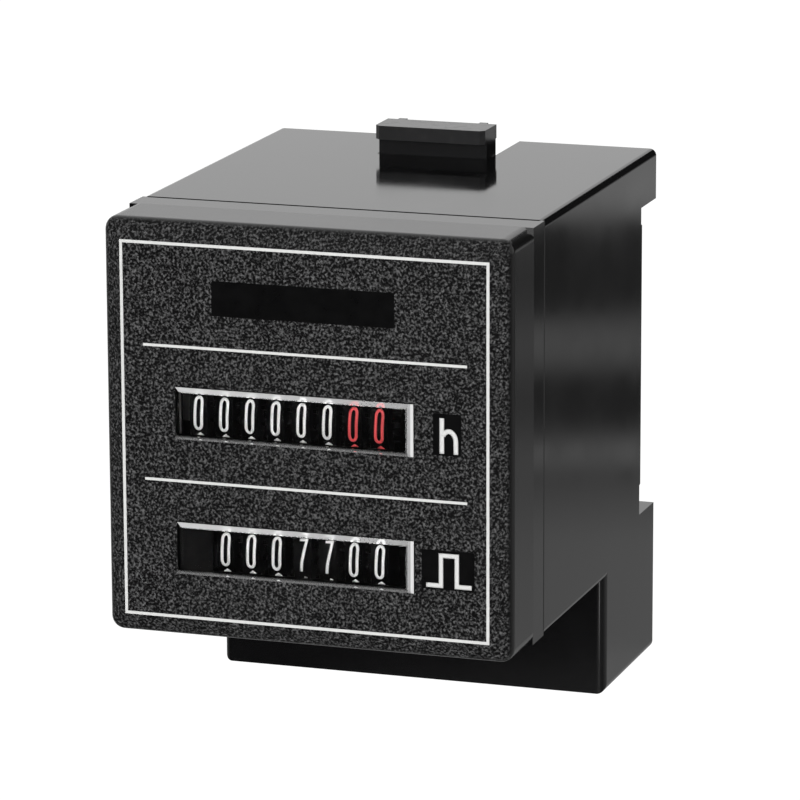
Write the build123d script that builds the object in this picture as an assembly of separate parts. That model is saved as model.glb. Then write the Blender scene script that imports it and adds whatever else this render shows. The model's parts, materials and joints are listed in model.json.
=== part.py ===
from build123d import *
import math
import os

# A rail-mounted hours meter and pulse counter, in millimetres.
# X is to the right, Y runs from the front to the back and Z is up.
# The origin is the middle of the rail seat, the plane that meets the front of the rail.

# Body
front_width = 48.0
front_height = 48.0
seat_depth = 53.0
rear_reach = 6.0
wall = 1.6
edge_radius = 0.8
cut_overrun = 1.0
edge_tolerance = 0.01

# Front bezel
bezel_depth = 9.0
bezel_plate = 1.8
bevel_width = 2.25
bevel_depth = 1.3
corner_radius = 1.5
face_corner_radius = 0.4
border_radius = 1.2
neck_length = 4.2
neck_inset = 0.06
spigot_length = 2.5
spigot_wall = 1.2
spigot_clearance = 0.05

# Rail pocket, fixed hook and foot
rail_height = 35.0
rail_lip = 1.0
rail_lip_clearance = 0.2
pocket_top_gap = 0.5
pocket_bottom_gap = 2.1
seat_relief = 0.4
seat_margin = 0.3
hook_overlap = 1.3
hook_thickness = 2.0
hook_inset = 6.0
foot_drop = 14.0
foot_depth = 21.0
foot_radius = 1.0

# Rail latch
latch_travel = 3.0
latch_clearance = 0.2
stem_width = 13.4
stem_thickness = 3.6
guide_wall = 1.4
seat_wall = 2.8
lip_width = 13.6
lip_front_reach = 1.4
lip_height = 1.65
lip_stand = 1.95
lip_corner = 0.55
lip_rib_width = 1.0
lip_rib_depth = 0.7
lip_rib_spacing = 10.1
nose_height = 2.4
nose_rise = 0.6
nose_width = 12.0
stem_tail = 9.4
tail_gap = 0.6
spring_window_width = 9.0
spring_window_sill = 1.8
pin_radius = 1.0
pin_height = 3.8
pin_fit = 0.02
latch_spring_thickness = 0.25
latch_spring_depth = 2.4
spring_clearance = 0.05

# Windows
window_left = 8.82
window_right = 11.08
window_height = 6.0
hours_window_share = 0.104
pulse_window_share = -0.6345
window_fit = 0.05
window_stand = 0.2
facet_width = 0.85
facet_height = 0.55
facet_depth = 0.3
flange_reach = 0.7
flange_thickness = 0.6

# Number wheels and carry pinions
hours_wheels = 8
pulse_wheels = 7
counter_gap = 1.62
carry_gap = 0.96
wheel_gap = 0.4
wheel_drop = 0.33
first_wheel_inset = 4.675
last_wheel_inset = 2.005
ring_teeth = 20
ring_inset = 1.4
ring_width = 0.4
carry_inset = 2.4
carry_tooth = 0.4
carry_tooth_width = 0.7
pinion_teeth = 8
pinion_clearance = 0.13
wheel_axle_radius = 0.75
pinion_axle_radius = 0.5
running_clearance = 0.05
axle_end = 0.5
addendum_share = 0.75
dedendum_share = 1.0
root_half_share = 0.24
tip_half_share = 0.11

# Counter frames
plate_thickness = 1.0
drive_room = 2.4
end_room = 0.8
plate_inset = 2.0
plate_nose = 2.0
bridge_room = 1.2
ear_half_height = 2.2
boss_radius = 1.9
boss_gap = 0.2
screw_radius = 1.0
screw_length = 4.0
screw_head_radius = 1.5
screw_head_height = 1.0
screw_slot_width = 0.4
screw_slot_depth = 0.5
screw_fit = 0.02

# Hours drive
drive_teeth = 30
drive_inset = 1.6
drive_width = 1.0
drive_gap = 0.3
idler_small_teeth = 12
idler_large_teeth = 34
rotor_teeth = 10
idler_angle = 50.0
motor_angle = 75.0
gear_width = 1.0
gear_gap = 0.6
idler_shaft_radius = 0.8
motor_gap = 0.29
motor_length = 10.0
motor_shell = 0.5
motor_margin = 0.4
coil_gap = 0.2
coil_end_gap = 1.2
coil_depth = 1.0
rotor_gap = 0.5
rotor_end_gap = 1.0
shaft_radius = 0.7

# Pulse drive
ratchet_teeth = 10
ratchet_inset = 3.0
ratchet_depth = 0.9
ratchet_root_share = 0.1
magnet_x = 4.0
magnet_share = 0.405
hinge_share = 0.73
bobbin_gap = 1.3
yoke_thickness = 1.2
yoke_width = 10.0
yoke_gap = 0.3
core_radius = 2.2
bobbin_flange = 0.8
bobbin_wall = 0.5
coil_inset = 0.6
bobbin_fit = 0.05
armature_gap = 0.7
armature_thickness = 1.0
armature_tail = 1.0
pivot_radius = 0.5
arm_width = 1.0
arm_clearance = 0.3
arm_drop = 1.6
arm_reach = 7.9
arm_ramp = 3.0
pawl_length = 3.0
pawl_width = 1.0
armature_spring_thickness = 0.2
armature_spring_width = 3.0
armature_spring_length = 4.0
armature_spring_rise = 0.5

# Circuit board
board_thickness = 1.2
board_standoff = 1.8
board_margin = 2.4
board_bottom_gap = 2.9
board_top_gap = 0.6
post_radius = 1.6
post_inset = 3.0
stake_radius = 0.7
stake_fit = 0.05
stake_stand = 0.8
capacitor_size = (11.0, 6.0, 10.0)
rectifier_size = (6.0, 3.0, 7.0)
resistor_radius = 1.6
resistor_length = 9.0
component_gap = 2.0

# Terminals
terminals = 4
terminal_pitch = 7.0
clamp_width = 4.8
clamp_depth = 7.0
clamp_height = 9.4
clamp_gap = 0.8
wire_width = 3.4
wire_clearance = 0.2
wire_bay = 7.4
wire_back_share = 0.25
terminal_screw_rise = 5.8
terminal_head_radius = 1.9
terminal_head_height = 1.5
terminal_shank_radius = 1.2
terminal_tip_gap = 0.6
access_clearance = 0.2

# Places that follow from the sizes
half_width = front_width / 2
top_z = front_height / 2
bottom_z = -top_z
front_y = -seat_depth
bezel_back = front_y + bezel_depth
plate_back = front_y + bezel_plate
neck_back = bezel_back + neck_length
inner_half_width = half_width - wall
inner_top = top_z - wall
pocket_top = rail_height / 2 + pocket_top_gap
pocket_bottom = -rail_height / 2 - pocket_bottom_gap
lip_back = rail_lip + rail_lip_clearance
foot_bottom = bottom_z - foot_drop
foot_front = rear_reach - foot_depth
hook_top = -rail_height / 2 + hook_overlap
spigot_half = inner_half_width - spigot_clearance
spigot_top = inner_top - spigot_clearance
bore_half = spigot_half - spigot_wall
bore_top = spigot_top - spigot_wall

window_width = front_width - window_left - window_right
window_offset = (window_left - window_right) / 2
hours_window_z = hours_window_share * bore_top
pulse_window_z = pulse_window_share * bore_top
window_front = front_y - window_stand
flange_back = plate_back + flange_thickness
wheel_radius = (hours_window_z - pulse_window_z - counter_gap) / 2
wheel_pitch = (window_width - first_wheel_inset - last_wheel_inset) / (hours_wheels - 1)
rim_width = wheel_pitch - carry_gap
wheel_y = flange_back + wheel_gap + wheel_radius
hours_z = hours_window_z - wheel_drop
pulse_z = pulse_window_z - wheel_drop
first_wheel_x = window_offset + window_width / 2 - first_wheel_inset
ring_pitch_radius = wheel_radius - ring_inset
carry_radius = wheel_radius - carry_inset
ring_module = 2 * ring_pitch_radius / ring_teeth
pinion_pitch_radius = ring_module * pinion_teeth / 2
pinion_y = wheel_y + ring_pitch_radius + pinion_pitch_radius
pinion_tip = pinion_pitch_radius + addendum_share * ring_module

right_plate = first_wheel_x + rim_width / 2 + drive_room
right_face = right_plate + plate_thickness
last_wheel_x = first_wheel_x - (hours_wheels - 1) * wheel_pitch
left_plate = last_wheel_x - rim_width / 2 - end_room
left_face = left_plate - plate_thickness
plate_front = wheel_y - plate_nose
bridge_front = pinion_y + pinion_tip + bridge_room
bridge_back = bridge_front + plate_thickness
plate_half_height = wheel_radius - plate_inset
boss_x = bore_half - boss_gap - boss_radius

drive_pitch_radius = wheel_radius - drive_inset
drive_module = 2 * drive_pitch_radius / drive_teeth
idler_small_radius = drive_module * idler_small_teeth / 2
idler_large_radius = drive_module * idler_large_teeth / 2
rotor_pitch_radius = drive_module * rotor_teeth / 2
idler_reach = drive_pitch_radius + idler_small_radius
motor_reach = idler_large_radius + rotor_pitch_radius
idler_y = wheel_y + idler_reach * math.cos(math.radians(idler_angle))
idler_z = hours_z + idler_reach * math.sin(math.radians(idler_angle))
motor_y = idler_y + motor_reach * math.cos(math.radians(motor_angle))
motor_z = idler_z + motor_reach * math.sin(math.radians(motor_angle))
motor_radius = motor_reach - idler_small_radius - addendum_share * drive_module - motor_gap
rotor_radius = motor_radius - motor_shell - coil_gap - coil_depth - rotor_gap
outer_gear_x = right_face + gear_gap

ratchet_radius = wheel_radius - ratchet_inset
board_back = -wall - board_standoff
board_front = board_back - board_thickness
magnet_room = board_front - bridge_back
magnet_y = bridge_back + magnet_share * magnet_room
hinge_y = bridge_back + hinge_share * magnet_room
bobbin_flange_radius = hinge_y - yoke_thickness / 2 - bobbin_gap - magnet_y
yoke_bottom = pulse_z - wheel_radius - yoke_gap
arm_level = (hours_z + pulse_z) / 2
armature_bottom = arm_level + arm_drop
core_top = armature_bottom - armature_gap
arm_x = first_wheel_x + rim_width / 2 + arm_clearance

guide_front = -seat_wall - latch_clearance - stem_thickness - latch_clearance
stem_back = -seat_wall - latch_clearance
stem_front = stem_back - stem_thickness
guide_half_width = stem_width / 2 + latch_clearance
nose_bottom = rail_height / 2 - hook_overlap
nose_shelf = pocket_top + nose_rise
stem_bottom = pocket_top - stem_tail
guide_bottom = stem_bottom - tail_gap
window_sill = stem_bottom + spring_window_sill
pin_z = window_sill + pin_height + pin_radius
latch_lip_bottom = top_z + lip_stand
latch_top = latch_lip_bottom + lip_height

board_bottom = bottom_z + wall + board_bottom_gap
board_top = guide_bottom - guide_wall - board_top_gap
board_half_width = inner_half_width - board_margin

clamp_front = foot_front + wall + clamp_gap
clamp_bottom = foot_bottom + wall
wire_back = clamp_front + clamp_depth - wire_back_share * (clamp_depth - wire_width)
wire_centre = wire_back - wire_width / 2
terminal_z = clamp_bottom + terminal_screw_rise
terminal_places = [(place - (terminals - 1) / 2) * terminal_pitch for place in range(terminals)]


# Helpers

def block(x0, x1, y0, y1, z0, z1):
    """A box between two opposite corners."""
    return Pos((x0 + x1) / 2, (y0 + y1) / 2, (z0 + z1) / 2) * Box(x1 - x0, y1 - y0, z1 - z0)


def rod_x(radius, x0, x1, y=0, z=0):
    """A round bar along X."""
    return Pos((x0 + x1) / 2, y, z) * Rot(0, 90, 0) * Cylinder(radius, x1 - x0)


def rod_y(radius, y0, y1, x=0, z=0):
    """A round bar along Y."""
    return Pos(x, (y0 + y1) / 2, z) * Rot(90, 0, 0) * Cylinder(radius, y1 - y0)


def rod_z(radius, z0, z1, x=0, y=0):
    """A round bar along Z."""
    return Pos(x, y, (z0 + z1) / 2) * Cylinder(radius, z1 - z0)


def front_slab(width, height, radius, y0, y1):
    """A plate that faces the front, with rounded corners."""
    face = Plane.XZ.offset(-y1) * RectangleRounded(width, height, radius)
    return extrude(face, y1 - y0)


def side_plate(points, x0, x1):
    """A plate cut to an outline of (y, z) points, from x0 to x1."""
    return Pos(x0, 0, 0) * extrude(Plane.YZ * Polygon(*points, align=None), x1 - x0, dir=(1, 0, 0))


def gear(teeth, pitch_radius, width, tooth_angle):
    """A spur gear on the X axis from x = 0, with the middle of a tooth at tooth_angle."""
    module = 2 * pitch_radius / teeth
    root = pitch_radius - dedendum_share * module
    tip = pitch_radius + addendum_share * module
    corners = ((root, -root_half_share), (tip, -tip_half_share),
               (tip, tip_half_share), (root, root_half_share))
    outline = []
    for tooth in range(teeth):
        for radius, share in corners:
            angle = math.radians(tooth_angle + (tooth + share) * 360 / teeth)
            outline.append((radius * math.cos(angle), radius * math.sin(angle)))
    return side_plate(outline, 0, width)


# Front

def window_opening(z):
    """The hole in the bezel plate that a window fills."""
    half_w = window_width / 2 + window_fit
    half_h = window_height / 2 + window_fit
    return block(window_offset - half_w, window_offset + half_w,
                 front_y - cut_overrun, plate_back + cut_overrun, z - half_h, z + half_h)


def make_bezel():
    """Front plate with a sloped border and a skirt, and the bosses that carry the counters."""
    border_back = front_y + bevel_depth
    outer = Plane.XZ.offset(-border_back) * RectangleRounded(front_width, front_height, corner_radius)
    inner = Plane.XZ.offset(-front_y) * RectangleRounded(
        front_width - 2 * bevel_width, front_height - 2 * bevel_width, face_corner_radius)
    border = loft([outer.face(), inner.face()])
    body = border + front_slab(front_width, front_height, corner_radius, border_back, bezel_back)
    meeting = [edge for edge in body.edges() if abs(edge.center().Y - border_back) < edge_tolerance]
    body = fillet(meeting, border_radius)
    body -= block(-inner_half_width, inner_half_width, plate_back, bezel_back + cut_overrun,
                  -inner_top, inner_top)
    for z in (hours_window_z, pulse_window_z):
        body -= window_opening(z)
    for z in (hours_z, pulse_z):
        for x in (-boss_x, boss_x):
            body += rod_y(boss_radius, plate_back, plate_front, x, z)
            body -= rod_y(screw_radius + screw_fit, plate_front - screw_length,
                          plate_front + cut_overrun, x, z)
    return body


def make_window(z):
    """Clear window, pressed in from behind, whose pane stands out of the plate with sloped facets."""
    half_w = window_width / 2
    half_h = window_height / 2
    body = block(window_offset - half_w, window_offset + half_w, window_front, flange_back,
                 z - half_h, z + half_h)
    reach_w = half_w + flange_reach
    reach_h = half_h + flange_reach
    body += block(window_offset - reach_w, window_offset + reach_w, plate_back, flange_back,
                  z - reach_h, z + reach_h)
    rim = Plane.XZ.offset(-window_front) * Pos(window_offset, z) * Rectangle(window_width, window_height)
    pane = Plane.XZ.offset(facet_depth - window_front) * Pos(window_offset, z) * Rectangle(
        window_width - 2 * facet_width, window_height - 2 * facet_height)
    return body + loft([rim.face(), pane.face()])


# Housing and rail latch

def make_housing():
    """Open-fronted case with the rail pocket, the fixed hook, the latch guide and the terminal foot."""
    body = block(-half_width, half_width, neck_back, rear_reach, bottom_z, top_z)
    body = fillet(body.edges().filter_by(Axis.Y), edge_radius)
    foot = block(-half_width, half_width, foot_front, rear_reach, foot_bottom, bottom_z + foot_drop)
    low_sides = foot.edges().filter_by(Axis.Y).group_by(Axis.Z)[0]
    front_sides = foot.edges().filter_by(Axis.Z).group_by(Axis.Y)[0]
    body += fillet(low_sides + front_sides, foot_radius)
    neck_half = half_width - neck_inset
    neck_top = top_z - neck_inset
    body += block(-neck_half, neck_half, bezel_back, neck_back, -neck_top, neck_top)
    body += block(-spigot_half, spigot_half, bezel_back - spigot_length, bezel_back, -spigot_top, spigot_top)

    side = half_width + cut_overrun
    seat_bottom = hook_top + seat_margin
    seat_top = nose_bottom - seat_margin
    body -= block(-side, side, 0, rear_reach + cut_overrun, pocket_bottom, pocket_top)
    body -= block(-side, side, -seat_relief, 0, pocket_bottom, seat_bottom)
    body -= block(-side, side, -seat_relief, 0, seat_top, pocket_top)
    body -= block(-bore_half, bore_half, bezel_back - spigot_length - cut_overrun, neck_back,
                  -bore_top, bore_top)
    cavity = block(-inner_half_width, inner_half_width, neck_back, -wall, -inner_top, inner_top)
    cavity += block(-inner_half_width, inner_half_width, foot_front + wall, rear_reach - wall,
                    foot_bottom + wall, pocket_bottom - wall)
    guide_half = guide_half_width + guide_wall
    cavity -= block(-guide_half, guide_half, guide_front - guide_wall, 0, guide_bottom - guide_wall, top_z)
    body -= cavity

    body -= block(-guide_half_width, guide_half_width, guide_front, rear_reach + cut_overrun,
                  pocket_top, top_z + cut_overrun)
    body -= block(-guide_half_width, guide_half_width, guide_front, -seat_wall, guide_bottom, pocket_top)
    body -= rod_y(pin_radius + pin_fit, guide_front - guide_wall, 0, 0, pin_z)

    hook_half = half_width - hook_inset
    body += block(-hook_half, hook_half, lip_back, lip_back + hook_thickness, pocket_bottom, hook_top)

    for x in terminal_places:
        body -= rod_y(terminal_head_radius + access_clearance, foot_front - cut_overrun,
                      foot_front + wall + cut_overrun, x, terminal_z)
        half = wire_width / 2 + wire_clearance
        body -= block(x - half, x + half, wire_centre - half, wire_centre + half,
                      foot_bottom - cut_overrun, foot_bottom + wall)
    for x, z in board_posts():
        body += rod_y(post_radius, board_back, -wall, x, z)
        body += rod_y(stake_radius, board_front - stake_stand, board_back, x, z)
    return body


def make_latch():
    """Sliding rail latch: finger lip above the case, stem in the guide, nose behind the upper rail lip."""
    stem_half = stem_width / 2
    body = block(-stem_half, stem_half, stem_front, stem_back, stem_bottom, latch_lip_bottom)
    lip = block(-lip_width / 2, lip_width / 2, stem_front - lip_front_reach, stem_back,
                latch_lip_bottom, latch_top)
    front_corners = lip.edges().filter_by(Axis.Z).group_by(Axis.Y)[0]
    body += chamfer(front_corners, lip_corner)
    for side in (-1, 1):
        x = side * lip_rib_spacing / 2
        body += block(x - lip_rib_width / 2, x + lip_rib_width / 2, stem_back, stem_back + lip_rib_depth,
                      latch_lip_bottom, latch_top)
    nose_half = nose_width / 2
    nose_back = lip_back + hook_thickness
    body += block(-nose_half, nose_half, stem_back, nose_back, nose_shelf, nose_shelf + nose_height)
    body += block(-nose_half, nose_half, lip_back, nose_back, nose_bottom, nose_shelf)
    sill_half = spring_window_width / 2
    body -= block(-sill_half, sill_half, stem_front - cut_overrun, stem_back + cut_overrun, window_sill,
                  pin_z + pin_radius + latch_clearance)
    return body


def make_latch_spring():
    """Bowed leaf between the sill of the latch's window and the pin."""
    rise = pin_height - 2 * spring_clearance
    chord = spring_window_width / 2 - 2 * latch_spring_thickness
    radius = (chord ** 2 + rise ** 2) / (2 * rise)
    foot_z = window_sill + spring_clearance
    centre_z = foot_z + rise - radius
    middle = (stem_front + stem_back) / 2
    y0 = middle - latch_spring_depth / 2
    y1 = middle + latch_spring_depth / 2
    ring = rod_y(radius, y0, y1, 0, centre_z) - rod_y(radius - latch_spring_thickness, y0, y1, 0, centre_z)
    return ring & block(-radius, radius, y0, y1, foot_z, foot_z + rise)


def make_latch_pin():
    """Pin through the latch guide that the spring bears on."""
    return rod_y(pin_radius, guide_front - guide_wall, -pin_fit, 0, pin_z)


# Counters

def frame_outline(z):
    """Outline of a counter frame's side plate."""
    low = z - plate_half_height
    high = z + plate_half_height
    return [(plate_front, low), (bridge_back, low), (bridge_back, high), (plate_front, high)]


def make_frame(z, motor_bracket):
    """Bent-plate frame: two side plates, a bridge behind them and an ear at each end."""
    left = side_plate(frame_outline(z), left_face, left_plate)
    right = side_plate(frame_outline(z), right_plate, right_face)
    if motor_bracket:
        top = motor_z + motor_radius
        right += block(right_plate, right_face, motor_y - motor_radius, motor_y + motor_radius, z, top)
        right -= rod_x(idler_shaft_radius + running_clearance, right_plate - cut_overrun,
                       right_face + cut_overrun, idler_y, idler_z)
        right -= rod_x(shaft_radius + motor_margin, right_plate - cut_overrun, right_face + cut_overrun,
                       motor_y, motor_z)
    body = left + right
    body += block(left_plate, right_plate, bridge_front, bridge_back,
                  z - plate_half_height, z + plate_half_height)
    ear_back = plate_front + plate_thickness
    ear_end = boss_x + boss_radius
    for x0, x1, boss in ((-ear_end, left_face, -boss_x), (right_face, ear_end, boss_x)):
        body += block(x0, x1, plate_front, ear_back, z - ear_half_height, z + ear_half_height)
        body -= rod_y(screw_radius + screw_fit, plate_front - cut_overrun, ear_back + cut_overrun, boss, z)
    for radius, y in ((wheel_axle_radius, wheel_y), (pinion_axle_radius, pinion_y)):
        body -= rod_x(radius + screw_fit, left_face - cut_overrun, right_face + cut_overrun, y, z)
    return body


def make_frame_screws():
    """Slotted screws that hold the frames' ears to the bezel's bosses."""
    screws = []
    seat = plate_front + plate_thickness
    head = seat + screw_head_height
    slot = screw_slot_width / 2
    for z in (hours_z, pulse_z):
        for x in (-boss_x, boss_x):
            screw = rod_y(screw_radius, plate_front - screw_length + screw_fit, seat, x, z)
            screw += rod_y(screw_head_radius, seat, head, x, z)
            screw -= block(x - screw_head_radius, x + screw_head_radius, head - screw_slot_depth,
                           head + cut_overrun, z - slot, z + slot)
            screws.append(screw)
    return Compound(children=screws)


def make_axle(radius, y, z):
    """Fixed axle held in both side plates of a frame."""
    return rod_x(radius, left_face - axle_end, right_face + axle_end / 2, y, z)


def wheel_x(place):
    """Middle of a wheel's rim; place 1 is the fastest, at the right."""
    return first_wheel_x - (place - 1) * wheel_pitch


def make_wheel(place, count, z, drive):
    """Number wheel with its drive on the right and the carry disc for the next wheel on the left."""
    half = rim_width / 2
    body = rod_x(wheel_radius, -half, half)
    body += Pos(half, 0, 0) * drive
    if place < count:
        body += rod_x(carry_radius, -half - ring_width, -half)
        for side in (-1, 1):
            middle = side * carry_tooth_width
            body += block(-half - ring_width, -half, -carry_radius - carry_tooth,
                          -carry_radius + carry_tooth,
                          middle - carry_tooth_width / 2, middle + carry_tooth_width / 2)
    bore = wheel_axle_radius + running_clearance
    body -= rod_x(bore, -half - ring_width - cut_overrun, half + drive_room + cut_overrun)
    return Pos(wheel_x(place), wheel_y, z) * body


def ring_drive():
    """Driven ring of a wheel, with a gap that faces the pinion."""
    return gear(ring_teeth, ring_pitch_radius, ring_width, 180 / ring_teeth)


def hours_drive():
    """Gear of the first hours wheel, with a gap that faces the idler."""
    return gear(drive_teeth, drive_pitch_radius, drive_width, idler_angle + 180 / drive_teeth)


def pulse_drive():
    """Ratchet of the first pulse wheel."""
    outline = []
    for tooth in range(ratchet_teeth):
        for radius, share in ((ratchet_radius, 0), (ratchet_radius - ratchet_depth, ratchet_root_share)):
            angle = math.radians((tooth + share) * 360 / ratchet_teeth)
            outline.append((radius * math.cos(angle), radius * math.sin(angle)))
    return side_plate(outline, 0, drive_width)


def make_pinion(place, z):
    """Carry pinion in the gap between two wheels, with a tooth in the slower wheel's ring."""
    width = carry_gap - 2 * pinion_clearance
    body = gear(pinion_teeth, pinion_pitch_radius, width, 180)
    body -= rod_x(pinion_axle_radius + running_clearance, -cut_overrun, width + cut_overrun)
    return Pos(wheel_x(place) - rim_width / 2 - carry_gap + pinion_clearance, pinion_y, z) * body


def make_pulse_spacer():
    """Sleeve on the pulse axle in the place that has no wheel."""
    outer = 2 * wheel_axle_radius
    x1 = wheel_x(pulse_wheels) - rim_width / 2 - pinion_clearance
    bore = rod_x(wheel_axle_radius + screw_fit, left_plate - cut_overrun, x1 + cut_overrun, wheel_y, pulse_z)
    return rod_x(outer, left_plate, x1, wheel_y, pulse_z) - bore


# Hours drive

def make_idler():
    """Idler of the hours train: small gear inside the frame, large gear outside, one shaft."""
    inside = first_wheel_x + rim_width / 2 + drive_gap
    body = Pos(inside, 0, 0) * gear(idler_small_teeth, idler_small_radius, gear_width, idler_angle + 180)
    body += rod_x(idler_shaft_radius, inside, outer_gear_x)
    body += Pos(outer_gear_x, 0, 0) * gear(
        idler_large_teeth, idler_large_radius, gear_width, motor_angle + 180 / idler_large_teeth)
    return Pos(0, idler_y, idler_z) * body


def make_motor_can():
    """Closed can of the hours motor, seated on the frame's bracket."""
    x0 = right_plate - motor_length
    body = rod_x(motor_radius, x0, right_plate)
    body -= rod_x(motor_radius - motor_shell, x0 + motor_shell, right_plate - motor_shell)
    body -= rod_x(shaft_radius + running_clearance, x0 + motor_shell, right_plate + cut_overrun)
    return Pos(0, motor_y, motor_z) * body


def make_motor_coil():
    """Ring-shaped winding inside the can."""
    x0 = right_plate - motor_length + motor_shell
    x1 = right_plate - motor_shell - coil_end_gap
    body = rod_x(motor_radius - motor_shell - coil_gap, x0, x1) - rod_x(rotor_radius + rotor_gap, x0, x1)
    return Pos(0, motor_y, motor_z) * body


def make_rotor():
    """Magnet rotor on its shaft, with the first pinion outside the frame."""
    x0 = right_plate - motor_length + motor_shell + rotor_end_gap
    x1 = right_plate - motor_shell - rotor_end_gap
    body = rod_x(rotor_radius, x0, x1) + rod_x(shaft_radius, x0, outer_gear_x)
    body += Pos(outer_gear_x, 0, 0) * gear(rotor_teeth, rotor_pitch_radius, gear_width, motor_angle + 180)
    return Pos(0, motor_y, motor_z) * body


# Pulse drive

def make_yoke():
    """Bent yoke on the pulse frame's bridge, with the core in the middle."""
    x0 = magnet_x - yoke_width / 2
    x1 = magnet_x + yoke_width / 2
    back = hinge_y + yoke_thickness / 2
    body = block(x0, x1, bridge_back, bridge_back + yoke_thickness, yoke_bottom, pulse_z)
    body += block(x0, x1, bridge_back, back, yoke_bottom, yoke_bottom + yoke_thickness)
    body += block(x0, x1, back - yoke_thickness, back, yoke_bottom, armature_bottom - arm_clearance)
    body -= rod_x(pivot_radius + running_clearance, x0, x1, hinge_y, armature_bottom)
    return body + rod_z(core_radius, yoke_bottom, core_top, magnet_x, magnet_y)


def make_bobbin():
    """Flanged bobbin on the core."""
    z0 = yoke_bottom + yoke_thickness
    z1 = core_top - bobbin_fit
    bore = core_radius + bobbin_fit
    body = rod_z(bore + bobbin_wall, z0, z1, magnet_x, magnet_y)
    body += rod_z(bobbin_flange_radius, z0, z0 + bobbin_flange, magnet_x, magnet_y)
    body += rod_z(bobbin_flange_radius, z1 - bobbin_flange, z1, magnet_x, magnet_y)
    return body - rod_z(bore, z0 - cut_overrun, z1 + cut_overrun, magnet_x, magnet_y)


def make_magnet_coil():
    """Winding on the bobbin."""
    z0 = yoke_bottom + yoke_thickness + bobbin_flange
    z1 = core_top - bobbin_fit - bobbin_flange
    inside = core_radius + bobbin_fit + bobbin_wall
    return (rod_z(bobbin_flange_radius - coil_inset, z0, z1, magnet_x, magnet_y)
            - rod_z(inside, z0 - cut_overrun, z1 + cut_overrun, magnet_x, magnet_y))


def make_armature():
    """Hinged plate over the core, with the arm and pawl that reach to the first pulse wheel."""
    x0 = magnet_x - yoke_width / 2
    x1 = arm_x + arm_width
    low = armature_bottom
    high = armature_bottom + armature_thickness
    plate_end = magnet_y - core_radius
    body = block(x0, x1, plate_end, hinge_y + armature_tail, low, high)
    body += rod_x(pivot_radius, x0, x0 + yoke_width, hinge_y, low)
    step = bridge_back + yoke_thickness
    arm_front = bridge_front - arm_reach
    arm = [(plate_end + arm_width, high), (plate_end + arm_width, low), (step + arm_ramp, low),
           (step, low - arm_drop), (arm_front + pawl_width, low - arm_drop),
           (arm_front + pawl_width, low - arm_drop - pawl_length), (arm_front, low - arm_drop - pawl_length),
           (arm_front, high - arm_drop), (step, high - arm_drop), (step + arm_ramp, high)]
    return body + side_plate(arm, arm_x, arm_x + arm_width)


def make_armature_spring():
    """Leaf on the yoke's back leg that lifts the armature off the core."""
    y0 = hinge_y - yoke_thickness / 2
    y1 = y0 - armature_spring_length
    z1 = armature_bottom - spring_clearance
    z0 = z1 - armature_spring_rise
    t = armature_spring_thickness
    leaf = [(y0, z0), (y0 - t, z0), (y1, z1 - t), (y1, z1), (y0 - t, z0 + t), (y0, z0 + t)]
    x0 = magnet_x - armature_spring_width / 2
    return side_plate(leaf, x0, x0 + armature_spring_width)


# Circuit board and terminals

def board_posts():
    """Places of the posts that carry the circuit board."""
    x = board_half_width - post_inset
    return [(side * x, z) for side in (-1, 1) for z in (board_bottom + post_inset, board_top - post_inset)]


def make_board():
    """Circuit board staked to the rear wall's posts."""
    body = block(-board_half_width, board_half_width, board_front, board_back, board_bottom, board_top)
    for x, z in board_posts():
        body -= rod_y(stake_radius + stake_fit, board_front - cut_overrun, board_back + cut_overrun, x, z)
    return body


def make_components():
    """Capacitor, rectifier and resistor on the front of the board."""
    middle = (board_bottom + board_top) / 2
    x_left = magnet_x - yoke_width / 2 - component_gap
    x_right = magnet_x + yoke_width / 2 + component_gap
    capacitor = block(x_left - capacitor_size[0], x_left, board_front - capacitor_size[1], board_front,
                      middle - capacitor_size[2] / 2, middle + capacitor_size[2] / 2)
    rectifier = block(x_right, x_right + rectifier_size[0], board_front - rectifier_size[1], board_front,
                      middle - rectifier_size[2] / 2, middle + rectifier_size[2] / 2)
    resistor = rod_x(resistor_radius, x_left - resistor_length, x_left, board_front - resistor_radius,
                     middle - capacitor_size[2] / 2 - component_gap - resistor_radius)
    return Compound(children=[capacitor, rectifier, resistor])


def make_clamps():
    """Four wire clamps that stand on the floor of the foot."""
    clamps = []
    for x in terminal_places:
        clamp = block(x - clamp_width / 2, x + clamp_width / 2, clamp_front, clamp_front + clamp_depth,
                      clamp_bottom, clamp_bottom + clamp_height)
        half = wire_width / 2
        clamp -= block(x - half, x + half, wire_centre - half, wire_centre + half,
                       clamp_bottom - cut_overrun, clamp_bottom + wire_bay)
        clamp -= rod_y(terminal_shank_radius + screw_fit, clamp_front - cut_overrun, wire_centre,
                       x, terminal_z)
        clamps.append(clamp)
    return Compound(children=clamps)


def make_terminal_screws():
    """Slotted clamp screws, reached through the holes in the front of the foot."""
    screws = []
    slot = screw_slot_width / 2
    for x in terminal_places:
        tip = wire_centre - wire_width / 2 + terminal_tip_gap
        face = clamp_front - terminal_head_height
        screw = rod_y(terminal_shank_radius, clamp_front, tip, x, terminal_z)
        screw += rod_y(terminal_head_radius, face, clamp_front, x, terminal_z)
        screw -= block(x - terminal_head_radius, x + terminal_head_radius, face - cut_overrun,
                       face + screw_slot_depth, terminal_z - slot, terminal_z + slot)
        screws.append(screw)
    return Compound(children=screws)


# All the pieces

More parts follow.
